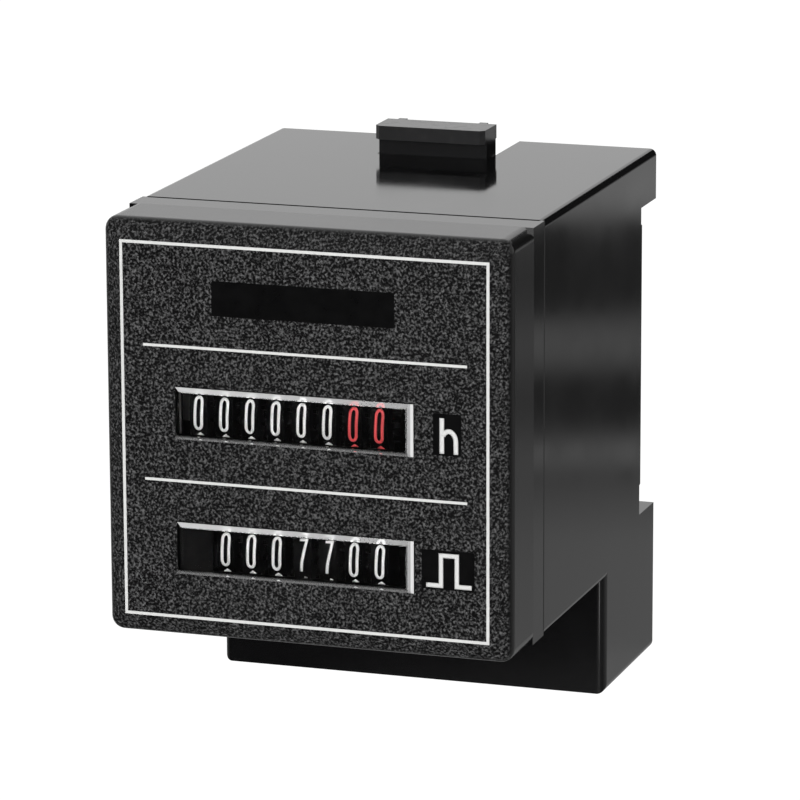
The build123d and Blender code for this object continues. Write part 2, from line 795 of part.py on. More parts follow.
pieces = {
    "front_bezel": make_bezel(),
    "hours_window": make_window(hours_window_z),
    "pulse_window": make_window(pulse_window_z),
    "housing": make_housing(),
    "rail_latch": make_latch(),
    "latch_spring": make_latch_spring(),
    "latch_pin": make_latch_pin(),
    "hours_frame": make_frame(hours_z, True),
    "pulse_frame": make_frame(pulse_z, False),
    "frame_screws": make_frame_screws(),
    "hours_wheel_axle": make_axle(wheel_axle_radius, wheel_y, hours_z),
    "pulse_wheel_axle": make_axle(wheel_axle_radius, wheel_y, pulse_z),
    "hours_pinion_axle": make_axle(pinion_axle_radius, pinion_y, hours_z),
    "pulse_pinion_axle": make_axle(pinion_axle_radius, pinion_y, pulse_z),
    "pulse_spacer": make_pulse_spacer(),
    "hours_idler": make_idler(),
    "motor_can": make_motor_can(),
    "motor_coil": make_motor_coil(),
    "motor_rotor": make_rotor(),
    "magnet_yoke": make_yoke(),
    "magnet_bobbin": make_bobbin(),
    "magnet_coil": make_magnet_coil(),
    "armature": make_armature(),
    "armature_spring": make_armature_spring(),
    "circuit_board": make_board(),
    "board_components": make_components(),
    "terminal_clamps": make_clamps(),
    "terminal_screws": make_terminal_screws(),
}
counters = (("hours", hours_wheels, hours_z, hours_drive), ("pulse", pulse_wheels, pulse_z, pulse_drive))
for name, count, z, first in counters:
    for place in range(1, count + 1):
        drive = first() if place == 1 else ring_drive()
        pieces[f"{name}_wheel_{place}"] = make_wheel(place, count, z, drive)
        if place < count:
            pieces[f"{name}_pinion_{place}"] = make_pinion(place, z)

os.makedirs("parts", exist_ok=True)
for node, shape in pieces.items():
    export_step(shape, f"parts/{node}.step")
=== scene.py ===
import json
import math

import bmesh
import bpy
from mathutils import Matrix, Vector


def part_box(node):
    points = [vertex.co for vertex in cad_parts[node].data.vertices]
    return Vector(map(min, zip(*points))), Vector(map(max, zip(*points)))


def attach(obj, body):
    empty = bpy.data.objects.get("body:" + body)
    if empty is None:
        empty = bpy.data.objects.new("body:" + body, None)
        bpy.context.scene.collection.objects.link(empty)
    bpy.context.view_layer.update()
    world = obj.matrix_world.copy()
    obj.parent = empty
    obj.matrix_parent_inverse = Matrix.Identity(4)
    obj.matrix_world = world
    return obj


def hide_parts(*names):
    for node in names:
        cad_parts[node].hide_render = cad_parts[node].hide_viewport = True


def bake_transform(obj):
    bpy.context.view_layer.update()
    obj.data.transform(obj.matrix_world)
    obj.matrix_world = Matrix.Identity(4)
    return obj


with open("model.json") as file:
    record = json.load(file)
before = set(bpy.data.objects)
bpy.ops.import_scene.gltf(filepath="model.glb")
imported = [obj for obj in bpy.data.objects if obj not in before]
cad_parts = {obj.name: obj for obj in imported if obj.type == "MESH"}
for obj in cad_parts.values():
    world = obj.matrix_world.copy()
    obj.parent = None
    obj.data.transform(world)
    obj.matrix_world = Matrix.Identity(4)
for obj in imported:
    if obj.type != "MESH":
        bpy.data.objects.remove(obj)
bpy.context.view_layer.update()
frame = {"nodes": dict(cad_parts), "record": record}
nodes = frame["nodes"]
scene = bpy.context.scene

MM = 0.001
MM_PER_METRE = 1000.0

# Places and sizes, in millimetres, as in the part's source
FACE_Y = -53.0
WHEEL_Y = -43.20036
WHEEL_RADIUS = 6.99965
FIRST_WHEEL_X = 8.245
WHEEL_PITCH = 3.06
HOURS_Z = 1.8696
PULSE_Z = -13.749675
HOURS_WINDOW_Z = 2.1996
PULSE_WINDOW_Z = -13.419675
WINDOWS_MIDDLE = (HOURS_WINDOW_Z + PULSE_WINDOW_Z) / 2
WINDOWS_APART = HOURS_WINDOW_Z - PULSE_WINDOW_Z
WINDOW_LEFT = -15.17
WINDOW_RIGHT = 12.91
WINDOW_HALF_HEIGHT = 2.985
WINDOW_FRONT_Y = -53.19


class Signal:
    """A node's output, with arithmetic that adds Math nodes."""

    def __init__(self, finish, socket):
        self.finish = finish
        self.socket = socket

    def out(self, name):
        """Another output of the same node."""
        return Signal(self.finish, self.socket.node.outputs[name])

    def math(self, operation, first, second=0.0):
        return self.finish.node("ShaderNodeMath", {"operation": operation}, {0: first, 1: second})

    def __add__(self, other):
        return self.math("ADD", self, other)

    def __radd__(self, other):
        return self.math("ADD", other, self)

    def __sub__(self, other):
        return self.math("SUBTRACT", self, other)

    def __rsub__(self, other):
        return self.math("SUBTRACT", other, self)

    def __mul__(self, other):
        return self.math("MULTIPLY", self, other)

    def __rmul__(self, other):
        return self.math("MULTIPLY", other, self)

    def __pow__(self, other):
        return self.math("POWER", self, other)

    def __gt__(self, other):
        return self.math("GREATER_THAN", self, other)

    def __lt__(self, other):
        return self.math("LESS_THAN", self, other)

    def __abs__(self):
        return self.math("ABSOLUTE", self)

    def larger(self, other):
        return self.math("MAXIMUM", self, other)


class Finish:
    """A material, or the world, built from nodes."""

    def __init__(self, name, tree=None):
        if tree is None:
            self.material = bpy.data.materials.new(name)
            self.material.use_nodes = True
            tree = self.material.node_tree
        self.tree = tree
        self.tree.nodes.clear()
        self.place = None

    def node(self, kind, settings=None, values=None, output=0):
        """Adds a node: its settings first, then the values or links of its sockets."""
        made = self.tree.nodes.new(kind)
        for key, value in (settings or {}).items():
            if key == "stops":
                ramp = made.color_ramp
                while len(ramp.elements) < len(value):
                    ramp.elements.new(1.0)
                for element, (position, colour) in zip(ramp.elements, value):
                    element.position = position
                    element.color = (*colour, 1.0)
            else:
                setattr(made, key, value)
        for key, value in (values or {}).items():
            if isinstance(value, Signal):
                self.tree.links.new(value.socket, made.inputs[key])
            else:
                made.inputs[key].default_value = value
        return Signal(self, made.outputs[output]) if made.outputs else None

    def spot(self):
        """The point on the piece, in metres."""
        if self.place is None:
            self.place = self.node("ShaderNodeTexCoord", output="Object")
        return self.place

    def axis(self, name, where=None):
        """The point's place along one axis, in metres, or that of another vector."""
        return self.node("ShaderNodeSeparateXYZ", None, {0: where or self.spot()}, name)

    def along(self, name):
        """The point's place along one axis, in millimetres."""
        return self.axis(name) * MM_PER_METRE

    def stretched(self, x, y, z):
        """The point with each axis scaled."""
        return self.node("ShaderNodeVectorMath", {"operation": "MULTIPLY"}, {0: self.spot(), 1: (x, y, z)})

    def noise(self, size_mm, detail=2.0, roughness=0.5, where=None):
        """Smooth noise with features of about that size."""
        return self.node("ShaderNodeTexNoise", None,
                         {"Vector": where or self.spot(), "Scale": MM_PER_METRE / size_mm,
                          "Detail": detail, "Roughness": roughness})

    def cells(self, size_mm):
        """Smoothed distance to the nearest of scattered points about that far apart."""
        return self.node("ShaderNodeTexVoronoi", {"feature": "SMOOTH_F1"},
                         {"Vector": self.spot(), "Scale": MM_PER_METRE / size_mm})

    def spread(self, value, low, high, to_low=0.0, to_high=1.0):
        """The value moved from one range to another and held there."""
        return self.node("ShaderNodeMapRange", {"clamp": True},
                         {0: value, 1: low, 2: high, 3: to_low, 4: to_high})

    def tint(self, factor, first, second):
        """A colour between two colours."""
        return self.node("ShaderNodeMix", {"data_type": "RGBA"},
                         {0: factor, 6: (*first, 1.0), 7: (*second, 1.0)}, 2)

    def bump(self, height, distance_mm, strength):
        """A normal from a height of 0 to 1."""
        return self.node("ShaderNodeBump", None,
                         {"Strength": strength, "Distance": distance_mm * MM, "Height": height})

    def principled(self, **values):
        """The main shader; an underscore in a name stands for a space."""
        sockets = {name.replace("_", " "): value for name, value in values.items()}
        return self.node("ShaderNodeBsdfPrincipled", None, sockets)

    def mixed(self, factor, first, second):
        """A shader between two shaders."""
        return self.node("ShaderNodeMixShader", None, {0: factor, 1: first, 2: second})

    def done(self, shader):
        """Connects the shader to the output."""
        self.node("ShaderNodeOutputMaterial", None, {"Surface": shader})
        return self.material


# Finishes of the outside. Pairs of millimetres are the two ends of a change.

RIM_Y = (-50.5, -51.0)  # the front's grain fades out over these, towards the skirt
RIM_X = (23.75, 23.35)
RIM_Z = (23.92, 23.62)
LIP_Z = (25.7, 25.8)  # the underside of the latch's lip
RAISED_Y = (-53.05, -53.15)  # a window's facets stand out from the face
TOP_FACET = (2.42, 2.56)  # from a window's middle
BOTTOM_FACET = (-2.5, -2.8)
RIGHT_FACET = (12.22, 12.3)
RIGHT_EDGE = (12.52, 12.64)


def grained_black():
    """Moulded black front: coarse grain on the face and its border, smooth round the rim and on the skirt."""
    f = Finish("grained_black")
    x, y, z = (f.along(name) for name in "XYZ")
    front = f.spread(y, *RIM_Y) * f.spread(abs(x), *RIM_X) * f.spread(abs(z), *RIM_Z)
    worms = f.spread(f.noise(0.29, 2.0, 0.6), 0.39, 0.65)
    pits = f.spread(f.cells(0.35), 0.12, 0.6)
    grain = worms * (0.55 + pits * 0.45)
    tips = f.spread(grain, 0.1, 0.95) ** 1.6
    patchy = f.noise(9.0)
    colour = f.tint(front * tips + patchy * 0.03, (0.001, 0.001, 0.0011), (0.125, 0.125, 0.126))
    return f.done(f.principled(Base_Color=colour, Roughness=0.42 + patchy * 0.06,
                               Specular_IOR_Level=0.07, IOR=1.5, Normal=f.bump(grain * front, 0.09, 1.0),
                               Coat_Weight=0.75 - front * 0.75, Coat_Roughness=0.13, Coat_IOR=1.5))


def polished_black():
    """Polished moulded case: deep black with faint flow ripple and haze."""
    f = Finish("polished_black")
    haze = f.noise(14.0, 3.0, 0.6)
    fine = f.noise(0.9)
    ripple = f.noise(22.0, 1.0)
    colour = f.tint(haze, (0.003, 0.003, 0.0032), (0.006, 0.006, 0.0063))
    rough = 0.055 + f.spread(haze, 0.35, 0.75) * 0.05 + fine * 0.02
    return f.done(f.principled(Base_Color=colour, Roughness=rough, Normal=f.bump(ripple, 0.02, 0.25), IOR=1.5))


def latch_black():
    """The latch's moulded black, a little duller; lighter on the lip, painted light where the lip catches light that
    the stem under it is shaded from, with rubbed spots there.
    """
    f = Finish("latch_black")
    haze = f.noise(6.0, 3.0, 0.6)
    lip = f.spread(f.along("Z"), *LIP_Z)
    rub = lip * f.spread(f.noise(1.2, 3.0), 0.5, 0.75)
    # the lip's lighter tone is painted light; the rubbed spots on it are wear
    colour = f.tint(lip * 0.6 + rub * 0.2 + haze * 0.15, (0.006, 0.006, 0.0063), (0.024, 0.024, 0.0245))
    rough = 0.14 + haze * 0.10 + rub * 0.08
    return f.done(f.principled(Base_Color=colour, Roughness=rough, Normal=f.bump(f.noise(0.6), 0.01, 0.3),
                               IOR=1.43))


def clear_plastic():
    """Clear moulded window: a trace of haze, sides painted black as painted shade, and facets painted pale as painted
    highlight, the right one most at its edge.
    """
    f = Finish("clear_plastic")
    x, y, z = (f.along(name) for name in "XYZ")
    up = z - PULSE_WINDOW_Z - (z > WINDOWS_MIDDLE) * WINDOWS_APART
    haze = f.noise(5.0, 3.0, 0.6)
    glass = f.principled(Base_Color=(1.0, 1.0, 1.0, 1.0), Roughness=0.005 + f.spread(haze, 0.5, 0.8) * 0.02,
                         IOR=1.49, Transmission_Weight=1.0)
    # painted highlight: a pale diffuse tone on the facets where they catch the light, the top one fading from left to
    # right; the left facet has none
    painted_highlight = f.principled(Base_Color=(0.72, 0.72, 0.72, 1.0), Roughness=0.3 + haze * 0.2, IOR=1.49)
    # painted shade: black on the sides of the window that sit in the face's opening
    painted_shade = f.principled(Base_Color=(0.004, 0.004, 0.004, 1.0), Roughness=0.6 + haze * 0.2,
                         Specular_IOR_Level=0.1)
    mitre = x + up > WINDOW_LEFT + WINDOW_HALF_HEIGHT
    top = f.spread(up, *TOP_FACET) * f.spread(x, -15.0, 12.5, 0.62, 0.23) * mitre
    right = f.spread(x, *RIGHT_FACET, 0.0, 0.4) + f.spread(x, *RIGHT_EDGE, 0.0, 0.45)
    bottom = f.spread(up, *BOTTOM_FACET) * 0.2
    pane = f.mixed(top.larger(right).larger(bottom) * f.spread(y, *RAISED_Y), glass, painted_highlight)
    ends = (x < WINDOW_LEFT).larger(x > WINDOW_RIGHT)
    sides = ends.larger(abs(up) > WINDOW_HALF_HEIGHT) * (y > WINDOW_FRONT_Y)
    return f.done(f.mixed(sides, pane, painted_shade))


def smooth_black_patch():
    """Smooth black printed panel on the grained face."""
    f = Finish("smooth_black_patch")
    flow = f.noise(1.5)
    colour = f.tint(flow, (0.0015, 0.0015, 0.0016), (0.004, 0.004, 0.0042))
    return f.done(f.principled(Base_Color=colour, Roughness=0.24 + flow * 0.1, Specular_IOR_Level=0.1,
                               Normal=f.bump(f.noise(0.5), 0.01, 0.25)))


def print_ink(name, bright, worn):
    """Screen-printed ink, thinner here and there."""
    f = Finish(name)
    thin = f.spread(f.noise(0.35, 3.0, 0.65), 0.55, 0.8)
    cloud = f.noise(4.0)
    colour = f.tint(thin * 0.5 + cloud * 0.15, bright, worn)
    return f.done(f.principled(Base_Color=colour, Roughness=0.42 + thin * 0.2, IOR=1.46,
                               Normal=f.bump(f.noise(0.2), 0.008, 0.4)))


def wheel_black():
    """Satin black number wheel with turned marks round its rim."""
    f = Finish("wheel_black")
    turned = f.noise(0.3, where=f.stretched(1.0, 0.04, 0.04))
    cloud = f.noise(3.0)
    colour = f.tint(turned * 0.6 + cloud * 0.3, (0.002, 0.002, 0.0021), (0.006, 0.006, 0.0063))
    return f.done(f.principled(Base_Color=colour, Roughness=0.3 + turned * 0.15,
                               Normal=f.bump(turned, 0.01, 0.3), Specular_IOR_Level=0.08))


def mask_black():
    """Dull black shade behind a window."""
    f = Finish("mask_black")
    speck = f.noise(0.3, 3.0)
    colour = f.tint(speck, (0.002, 0.002, 0.002), (0.005, 0.005, 0.005))
    return f.done(f.principled(Base_Color=colour, Roughness=0.6 + speck * 0.2,
                               Normal=f.bump(speck, 0.01, 0.3), Specular_IOR_Level=0.08))


# Finishes of the inside

COMPONENT_BAND_Z = -2.4


def natural_plastic():
    """Uncoloured moulded plastic of the pinions, idler and bobbin."""
    f = Finish("natural_plastic")
    cloud = f.noise(3.0, 3.0)
    colour = f.tint(cloud, (0.66, 0.62, 0.52), (0.80, 0.77, 0.68))
    return f.done(f.principled(Base_Color=colour, Roughness=0.38 + cloud * 0.15,
                               Normal=f.bump(f.noise(0.4), 0.01, 0.3), IOR=1.5))


def drawn_metal(name, dark, bright, low, high, along=(1.0, 0.08, 0.08)):
    """Sheet or bar metal with marks along its length; low and high are the ends of its roughness."""
    f = Finish(name)
    marks = f.noise(0.25, 3.0, 0.6, f.stretched(*along))
    cloud = f.noise(4.0)
    colour = f.tint(marks * 0.5 + cloud * 0.5, dark, bright)
    rough = low + (marks * 0.6 + cloud * 0.4) * (high - low)
    return f.done(f.principled(Base_Color=colour, Metallic=1.0, Roughness=rough,
                               Normal=f.bump(marks, 0.01, 0.35)))


def enamelled_wire():
    """Fine enamelled copper windings."""
    f = Finish("enamelled_wire")
    turns = f.node("ShaderNodeTexWave", {"wave_type": "BANDS", "bands_direction": "DIAGONAL"},
                   {"Vector": f.spot(), "Scale": 1600.0, "Distortion": 0.6})
    cloud = f.noise(2.0)
    colour = f.tint(turns * 0.6 + cloud * 0.4, (0.20, 0.055, 0.02), (0.62, 0.25, 0.10))
    return f.done(f.principled(Base_Color=colour, Metallic=0.9, Roughness=0.28 + turns * 0.15,
                               Normal=f.bump(turns, 0.05, 0.7)))


def solder_resist():
    """Green circuit board with faint tracks under the resist."""
    f = Finish("solder_resist")
    flat = f.node("ShaderNodeCombineXYZ", None, {0: f.along("X"), 1: f.along("Z")})
    tracks = f.node("ShaderNodeTexBrick", {"offset": 0.5, "squash": 1.0},
                    {"Vector": flat, "Scale": 0.35, "Mortar Size": 0.03}, "Fac")
    weave = f.noise(0.5)
    colour = f.tint(tracks * 0.7 + weave * 0.2, (0.012, 0.075, 0.026), (0.035, 0.16, 0.055))
    return f.done(f.principled(Base_Color=colour, Roughness=0.25 + weave * 0.15,
                               Normal=f.bump(tracks, 0.03, 0.5), IOR=1.52))


def moulded_component():
    """Dark moulded bodies of the parts on the board, with a pale band at one height."""
    f = Finish("moulded_component")
    speck = f.noise(0.3, 3.0)
    band = f.spread(abs(f.along("Z") - COMPONENT_BAND_Z), 0.6, 0.5)
    colour = f.tint(band * 0.7 + speck * 0.1, (0.012, 0.014, 0.022), (0.36, 0.37, 0.38))
    return f.done(f.principled(Base_Color=colour, Roughness=0.4 + speck * 0.2,
                               Normal=f.bump(speck, 0.02, 0.4), IOR=1.5))


finishes = {
    "textured_black": grained_black(),
    "gloss_black": polished_black(),
    "clear": clear_plastic(),
    "wheel_black": wheel_black(),
    "natural_plastic": natural_plastic(),
    "steel": drawn_metal("zinc_plated_steel", (0.36, 0.36, 0.36), (0.62, 0.62, 0.61), 0.22, 0.45),
    "spring_steel": drawn_metal("blued_spring", (0.10, 0.11, 0.14), (0.26, 0.27, 0.31), 0.2, 0.35),
    "plated": drawn_metal("nickel_plate", (0.50, 0.48, 0.44), (0.74, 0.72, 0.67), 0.15, 0.32, (0.2, 0.2, 1.0)),
    "copper": enamelled_wire(),
    "board": solder_resist(),
    "component_black": moulded_component(),
}
latch_finish = latch_black()
patch_finish = smooth_black_patch()
mask_finish = mask_black()
white_ink = print_ink("white_ink", (0.68, 0.68, 0.67), (0.54, 0.54, 0.53))
# the numerals' white is lighter than the face's white ink: painted light, making up for the light that the windows
# and shades keep from them
brightened_numeral_white = print_ink("brightened_numeral_white", (0.84, 0.84, 0.83), (0.70, 0.70, 0.69))
red_ink = print_ink("red_ink", (0.66, 0.07, 0.075), (0.46, 0.035, 0.04))

for entry in frame["record"]["subparts"]:
    materials = nodes[entry["node"]].data.materials
    materials.clear()
    materials.append(latch_finish if entry["node"] == "rail_latch" else finishes[entry["material_slot"]])


# Pieces

def placed(name, data):
    """Puts an object of a mesh, lamp or camera in the scene."""
    made = bpy.data.objects.new(name, data)
    scene.collection.objects.link(made)
    return made


def built(name, bm, finish):
    """Makes an object of a bmesh in metres."""
    mesh = bpy.data.meshes.new(name)
    bm.to_mesh(mesh)
    bm.free()
    mesh.materials.append(finish)
    return placed(name, mesh)


def finished(name, bm, finish, body="case"):
    """Makes a piece of a bmesh in millimetres, and lets it ride on a body, if there is one."""
    bmesh.ops.scale(bm, vec=(MM, MM, MM), verts=bm.verts)
    made = built(name, bm, finish)
    if body:
        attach(made, body)
    return made


def rectangle(bm, x0, x1, z0, z1, y):
    """A loop of four edges in a plane that faces the front."""
    corners = [bm.verts.new((x, y, z)) for x, z in ((x0, z0), (x1, z0), (x1, z1), (x0, z1))]
    return [bm.edges.new((corners[i], corners[(i + 1) % 4])) for i in range(4)]


def thicken(bm, depth, way=(0, -1, 0)):
    """Draws the faces out, towards the front unless told otherwise, into a solid."""
    drawn = bmesh.ops.extrude_face_region(bm, geom=bm.faces[:], use_keep_orig=True)["geom"]
    moved = [v for v in drawn if isinstance(v, bmesh.types.BMVert)]
    bmesh.ops.translate(bm, vec=Vector(way) * depth, verts=moved)
    bmesh.ops.recalc_face_normals(bm, faces=bm.faces)


def ring_plate(outer, inner, y, depth):
    """A flat frame between two rectangles."""
    bm = bmesh.new()
    edges = rectangle(bm, *outer, y) + rectangle(bm, *inner, y)
    bmesh.ops.bridge_loops(bm, edges=edges)
    thicken(bm, depth)
    return bm


def small_plate(x0, x1, z0, z1, y, depth, corner):
    """A thin plate with eased corners."""
    bm = bmesh.new()
    bmesh.ops.contextual_create(bm, geom=rectangle(bm, x0, x1, z0, z1, y))
    bmesh.ops.bevel(bm, geom=bm.verts[:], offset=corner, affect="VERTICES", segments=3, profile=0.5, material=-1)
    thicken(bm, depth)
    return bm


def stepped(points, closed, step=0.3):
    """The same path with more points, so that it can follow a wheel's rim."""
    ends = points[1:] + (points[:1] if closed else [])
    path = []
    for (x0, y0), (x1, y1) in zip(points, ends):
        parts = max(1, math.ceil(math.dist((x0, y0), (x1, y1)) / step))
        path += [(x0 + (x1 - x0) * i / parts, y0 + (y1 - y0) * i / parts) for i in range(parts)]
    return path if closed else path + points[-1:]


def strokes(paths, width, thickness):
    """Flat strokes along paths of (across, up) points, as a bmesh with its thickness along z."""
    bm = bmesh.new()
    for order, (points, closed) in enumerate(paths):
        curve = bpy.data.curves.new("strokes", "CURVE")
        curve.dimensions = "2D"
        curve.fill_mode = "NONE"
        curve.bevel_depth = width / 2
        curve.bevel_resolution = 1
        curve.use_fill_caps = True
        points = stepped(points, closed)
        spline = curve.splines.new("POLY")
        spline.points.add(len(points) - 1)
        for point, (across, up) in zip(spline.points, points):
            point.co = (across, up, 0, 1)
        spline.use_cyclic_u = closed
        holder = bpy.data.objects.new("strokes", curve)
        mesh = bpy.data.meshes.new_from_object(holder)
        # each path a little higher than the one before, so that no two surfaces lie in one plane
        mesh.transform(Matrix.Diagonal((1, 1, 2 * thickness / width * (1 + 0.15 * order), 1)))
        bm.from_mesh(mesh)
        bpy.data.objects.remove(holder)
        bpy.data.curves.remove(curve)
        bpy.data.meshes.remove(mesh)
    bmesh.ops.remove_doubles(bm, verts=bm.verts, dist=width * 0.001)
    return bm


def bow(across, up, radius_x, radius_y, start, end, steps=10):
    """Points along an arc; the angles are in degrees."""
    turn = [math.radians(start + (end - start) * i / steps) for i in range(steps + 1)]
    return [(across + radius_x * math.cos(a), up + radius_y * math.sin(a)) for a in turn]


# The numerals: one even stroke, narrow, leaning forward a little

W = 0.80 / 2  # half a numeral's width
H = 3.74 / 2  # half its height
WAIST = 0.06  # height at which the two loops of a 3 or an 8 meet
STROKE = 0.37
LEAN = math.tan(math.radians(2.3))
INK = 0.03
HOURS_PLACES = 8
RED_PLACES = 2
PULSES_SHOWN = (0, 0, 7, 7, 0, 0, 0)


def numeral(digit):
    """Centre lines of a numeral."""
    bend = W * 1.6
    low = (H - WAIST) / 2
    high = (H + WAIST) / 2
    six = (bow(0, -H + low, W, low, 90, 450), True)
    if digit == 0:
        return [(bow(0, H - bend, W, bend, 0, 180) + bow(0, -H + bend, W, bend, 180, 360), True)]
    if digit == 1:
        return [([(-W * 0.7, H - 0.75), (0.1, H), (0.1, -H)], False)]
    if digit == 2:
        return [(bow(0, H - bend, W, bend, 165, -25) + [(-W, -H), (W, -H)], False)]
    if digit == 3:
        return [(bow(0, high, W, low, 150, -90) + bow(0, -low, W, high, 90, -150)[1:], False)]
    if digit == 4:
        return [([(W * 0.45, -H), (W * 0.45, H), (-W, -H * 0.4), (W * 1.1, -H * 0.4)], False)]
    if digit == 5:
        bowl = bow(-0.05, -H + low + 0.1, W + 0.05, low + 0.1, 115, -150)
        return [([(W * 0.85, H), (-W * 0.8, H), (-W * 0.95, 0.2)] + bowl, False)]
    if digit == 6:
        return [six, ([(W * 0.6, H), (-W * 0.35, H * 0.45), (-W, -H + low)], False)]
    if digit == 7:
        return [([(-W, H), (W, H), (W * 0.62, H * 0.45), (-W * 0.12, -H * 0.45), (-W * 0.3, -H)], False)]
    if digit == 8:
        return [(bow(0, high, W * 0.92, low, 0, 360, 20)[:-1], True), (bow(0, -low, W, high, 0, 360, 20)[:-1], True)]
    loop, closed = six
    return [([(-across, -up) for across, up in loop], closed),
            ([(-W * 0.6, -H), (W * 0.35, -H * 0.45), (W, H - low)], False)]


def number_ring(row, place, z, shown, ink):
    """Ten numerals round a wheel's rim, with the shown one at the front and the next one above it."""
    x = FIRST_WHEEL_X - (place - 1) * WHEEL_PITCH
    bm = bmesh.new()
    for digit in range(10):
        flat = strokes(numeral(digit), STROKE, INK)
        for v in flat.verts:
            across, up, out = v.co
            turn = math.radians(36.0 * (digit - shown)) + up / WHEEL_RADIUS
            radius = WHEEL_RADIUS + out
            v.co = (x + across + LEAN * up, WHEEL_Y - radius * math.cos(turn), z + radius * math.sin(turn))
        part = bpy.data.meshes.new("numeral")
        flat.to_mesh(part)
        flat.free()
        bm.from_mesh(part)
        bpy.data.meshes.remove(part)
    bmesh.ops.recalc_face_normals(bm, faces=bm.faces)
    finished(f"{row}_numerals_{place}", bm, ink, f"{row}_wheel_{place}")


for place in range(1, HOURS_PLACES + 1):
    ink, slot = (red_ink, "red_print") if place <= RED_PLACES else (brightened_numeral_white, "white_print")
    number_ring("hours", place, HOURS_Z, 0, ink)
for place, shown in enumerate(PULSES_SHOWN, 1):
    number_ring("pulse", place, PULSE_Z, shown, brightened_numeral_white)


# Prints on the face

PATCH = 0.02
SUNK = 0.01  # plates start a little below the face, so that no two surfaces lie in one plane
FRAME_LINE = 21.5
LINE_WIDTH = 0.34
RULE_WIDTH = 0.31
RULE_ENDS = (-19.0, 19.1)
LETTER_STROKE = 0.58
SIGN_STROKE = 0.55
SIGN_LOW = -15.3
SIGN_HIGH = -11.84


def square(half):
    """The sides of a square about the middle of the face."""
    return -half, half, -half, half


def face_strokes(name, paths, width):
    """Printed strokes on the face, from (x, z) points."""
    bm = strokes(paths, width, INK)
    bmesh.ops.transform(bm, matrix=Matrix.Rotation(math.radians(90), 4, "X"), verts=bm.verts)
    bmesh.ops.translate(bm, vec=(0, FACE_Y - PATCH, 0), verts=bm.verts)
    bmesh.ops.recalc_face_normals(bm, faces=bm.faces)
    finished(name, bm, white_ink)


frame_line = ring_plate(square(FRAME_LINE + LINE_WIDTH / 2), square(FRAME_LINE - LINE_WIDTH / 2),
                        FACE_Y + SUNK, INK + SUNK)
finished("frame_line", frame_line, white_ink)
for name, z in (("upper_rule", 9.82), ("lower_rule", -5.67)):
    rule = small_plate(*RULE_ENDS, z - RULE_WIDTH / 2, z + RULE_WIDTH / 2, FACE_Y + SUNK, INK + SUNK, 0.05)
    finished(name, rule, white_ink)
for name, area in (("name_patch", (-10.76, 10.68, 13.58, 17.58)),
                   ("hours_patch", (15.15, 18.4, -0.4, 4.35)),
                   ("pulse_patch", (13.78, 19.95, -15.75, -11.25))):
    patch = small_plate(*area, FACE_Y + SUNK, PATCH + SUNK, 0.15)
    finished(name, patch, patch_finish)
face_strokes("hours_letter", [([(16.16, 3.84), (16.16, -0.18)], False),
                              (bow(16.97, 1.18, 0.81, 1.19, 148, 0, 12) + [(17.79, -0.18)], False)], LETTER_STROKE)
face_strokes("pulse_sign", [([(14.31, SIGN_LOW), (16.03, SIGN_LOW), (16.03, SIGN_HIGH), (17.88, SIGN_HIGH),
                              (17.88, SIGN_LOW), (19.61, SIGN_LOW)], False)], SIGN_STROKE)


# Shades behind the windows, which leave one row of numerals in view

SHADE_Y = -50.32
SHADE_THICKNESS = 0.22
SHADE_ENDS = (-15.8, 13.5)
OPENING_RIGHT = 11.45
OPENING_BELOW = 2.8  # from a window's middle
OPENING_ABOVE = 1.95

# the shades hide the inside round each row; the pulse shade also covers the empty place left of the pulse wheels, a
# black sheet put where there is only shade
for name, foot, head, left, window in (("hours_shade", -1.4, 5.8, -14.95, HOURS_WINDOW_Z),
                                       ("pulse_shade", -17.0, -9.8, -11.45, PULSE_WINDOW_Z)):
    opening = (left, OPENING_RIGHT, window - OPENING_BELOW, window + OPENING_ABOVE)
    shade = ring_plate((*SHADE_ENDS, foot, head), opening, SHADE_Y, SHADE_THICKNESS)
    finished(name, shade, mask_finish)


# Leaf springs, shaped to reach from the case to the latch and to the armature

LATCH_LEAF = 0.25
LATCH_LEAF_STEPS = 28
ARMATURE_LEAF = 0.2
ARMATURE_LEAF_STEPS = 8


def leaf_spring(node, chains, depth, way):
    """A leaf between two chains of points, drawn out to its depth.

    It bends from the case at start to a body at end.
    """
    bm = bmesh.new()
    edges = []
    for chain in chains:
        points = [bm.verts.new(point) for point in chain]
        edges += [bm.edges.new(pair) for pair in zip(points, points[1:])]
    bmesh.ops.bridge_loops(bm, edges=edges)
    thicken(bm, depth, way)
    leaf = finished(node + "_leaf", bm, finishes["spring_steel"], None)
    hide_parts(node)
    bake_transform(leaf)


def latch_leaf():
    """A bow whose middle stays on the case and whose ends press on the latch."""
    low, high = (Vector(corner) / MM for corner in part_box("latch_spring"))
    rise = high.z - low.z
    radius = (high.x ** 2 + rise ** 2) / (2 * rise)
    middle = high.z - radius
    bows = []
    for reach in (radius, radius - LATCH_LEAF):
        swing = math.degrees(math.acos((low.z - middle) / reach))
        arc = bow(0, middle, reach, reach, 90 - swing, 90 + swing, LATCH_LEAF_STEPS)
        bows.append([(x, high.y, z) for x, z in arc])
    leaf_spring("latch_spring", bows, high.y - low.y, (0, -1, 0))


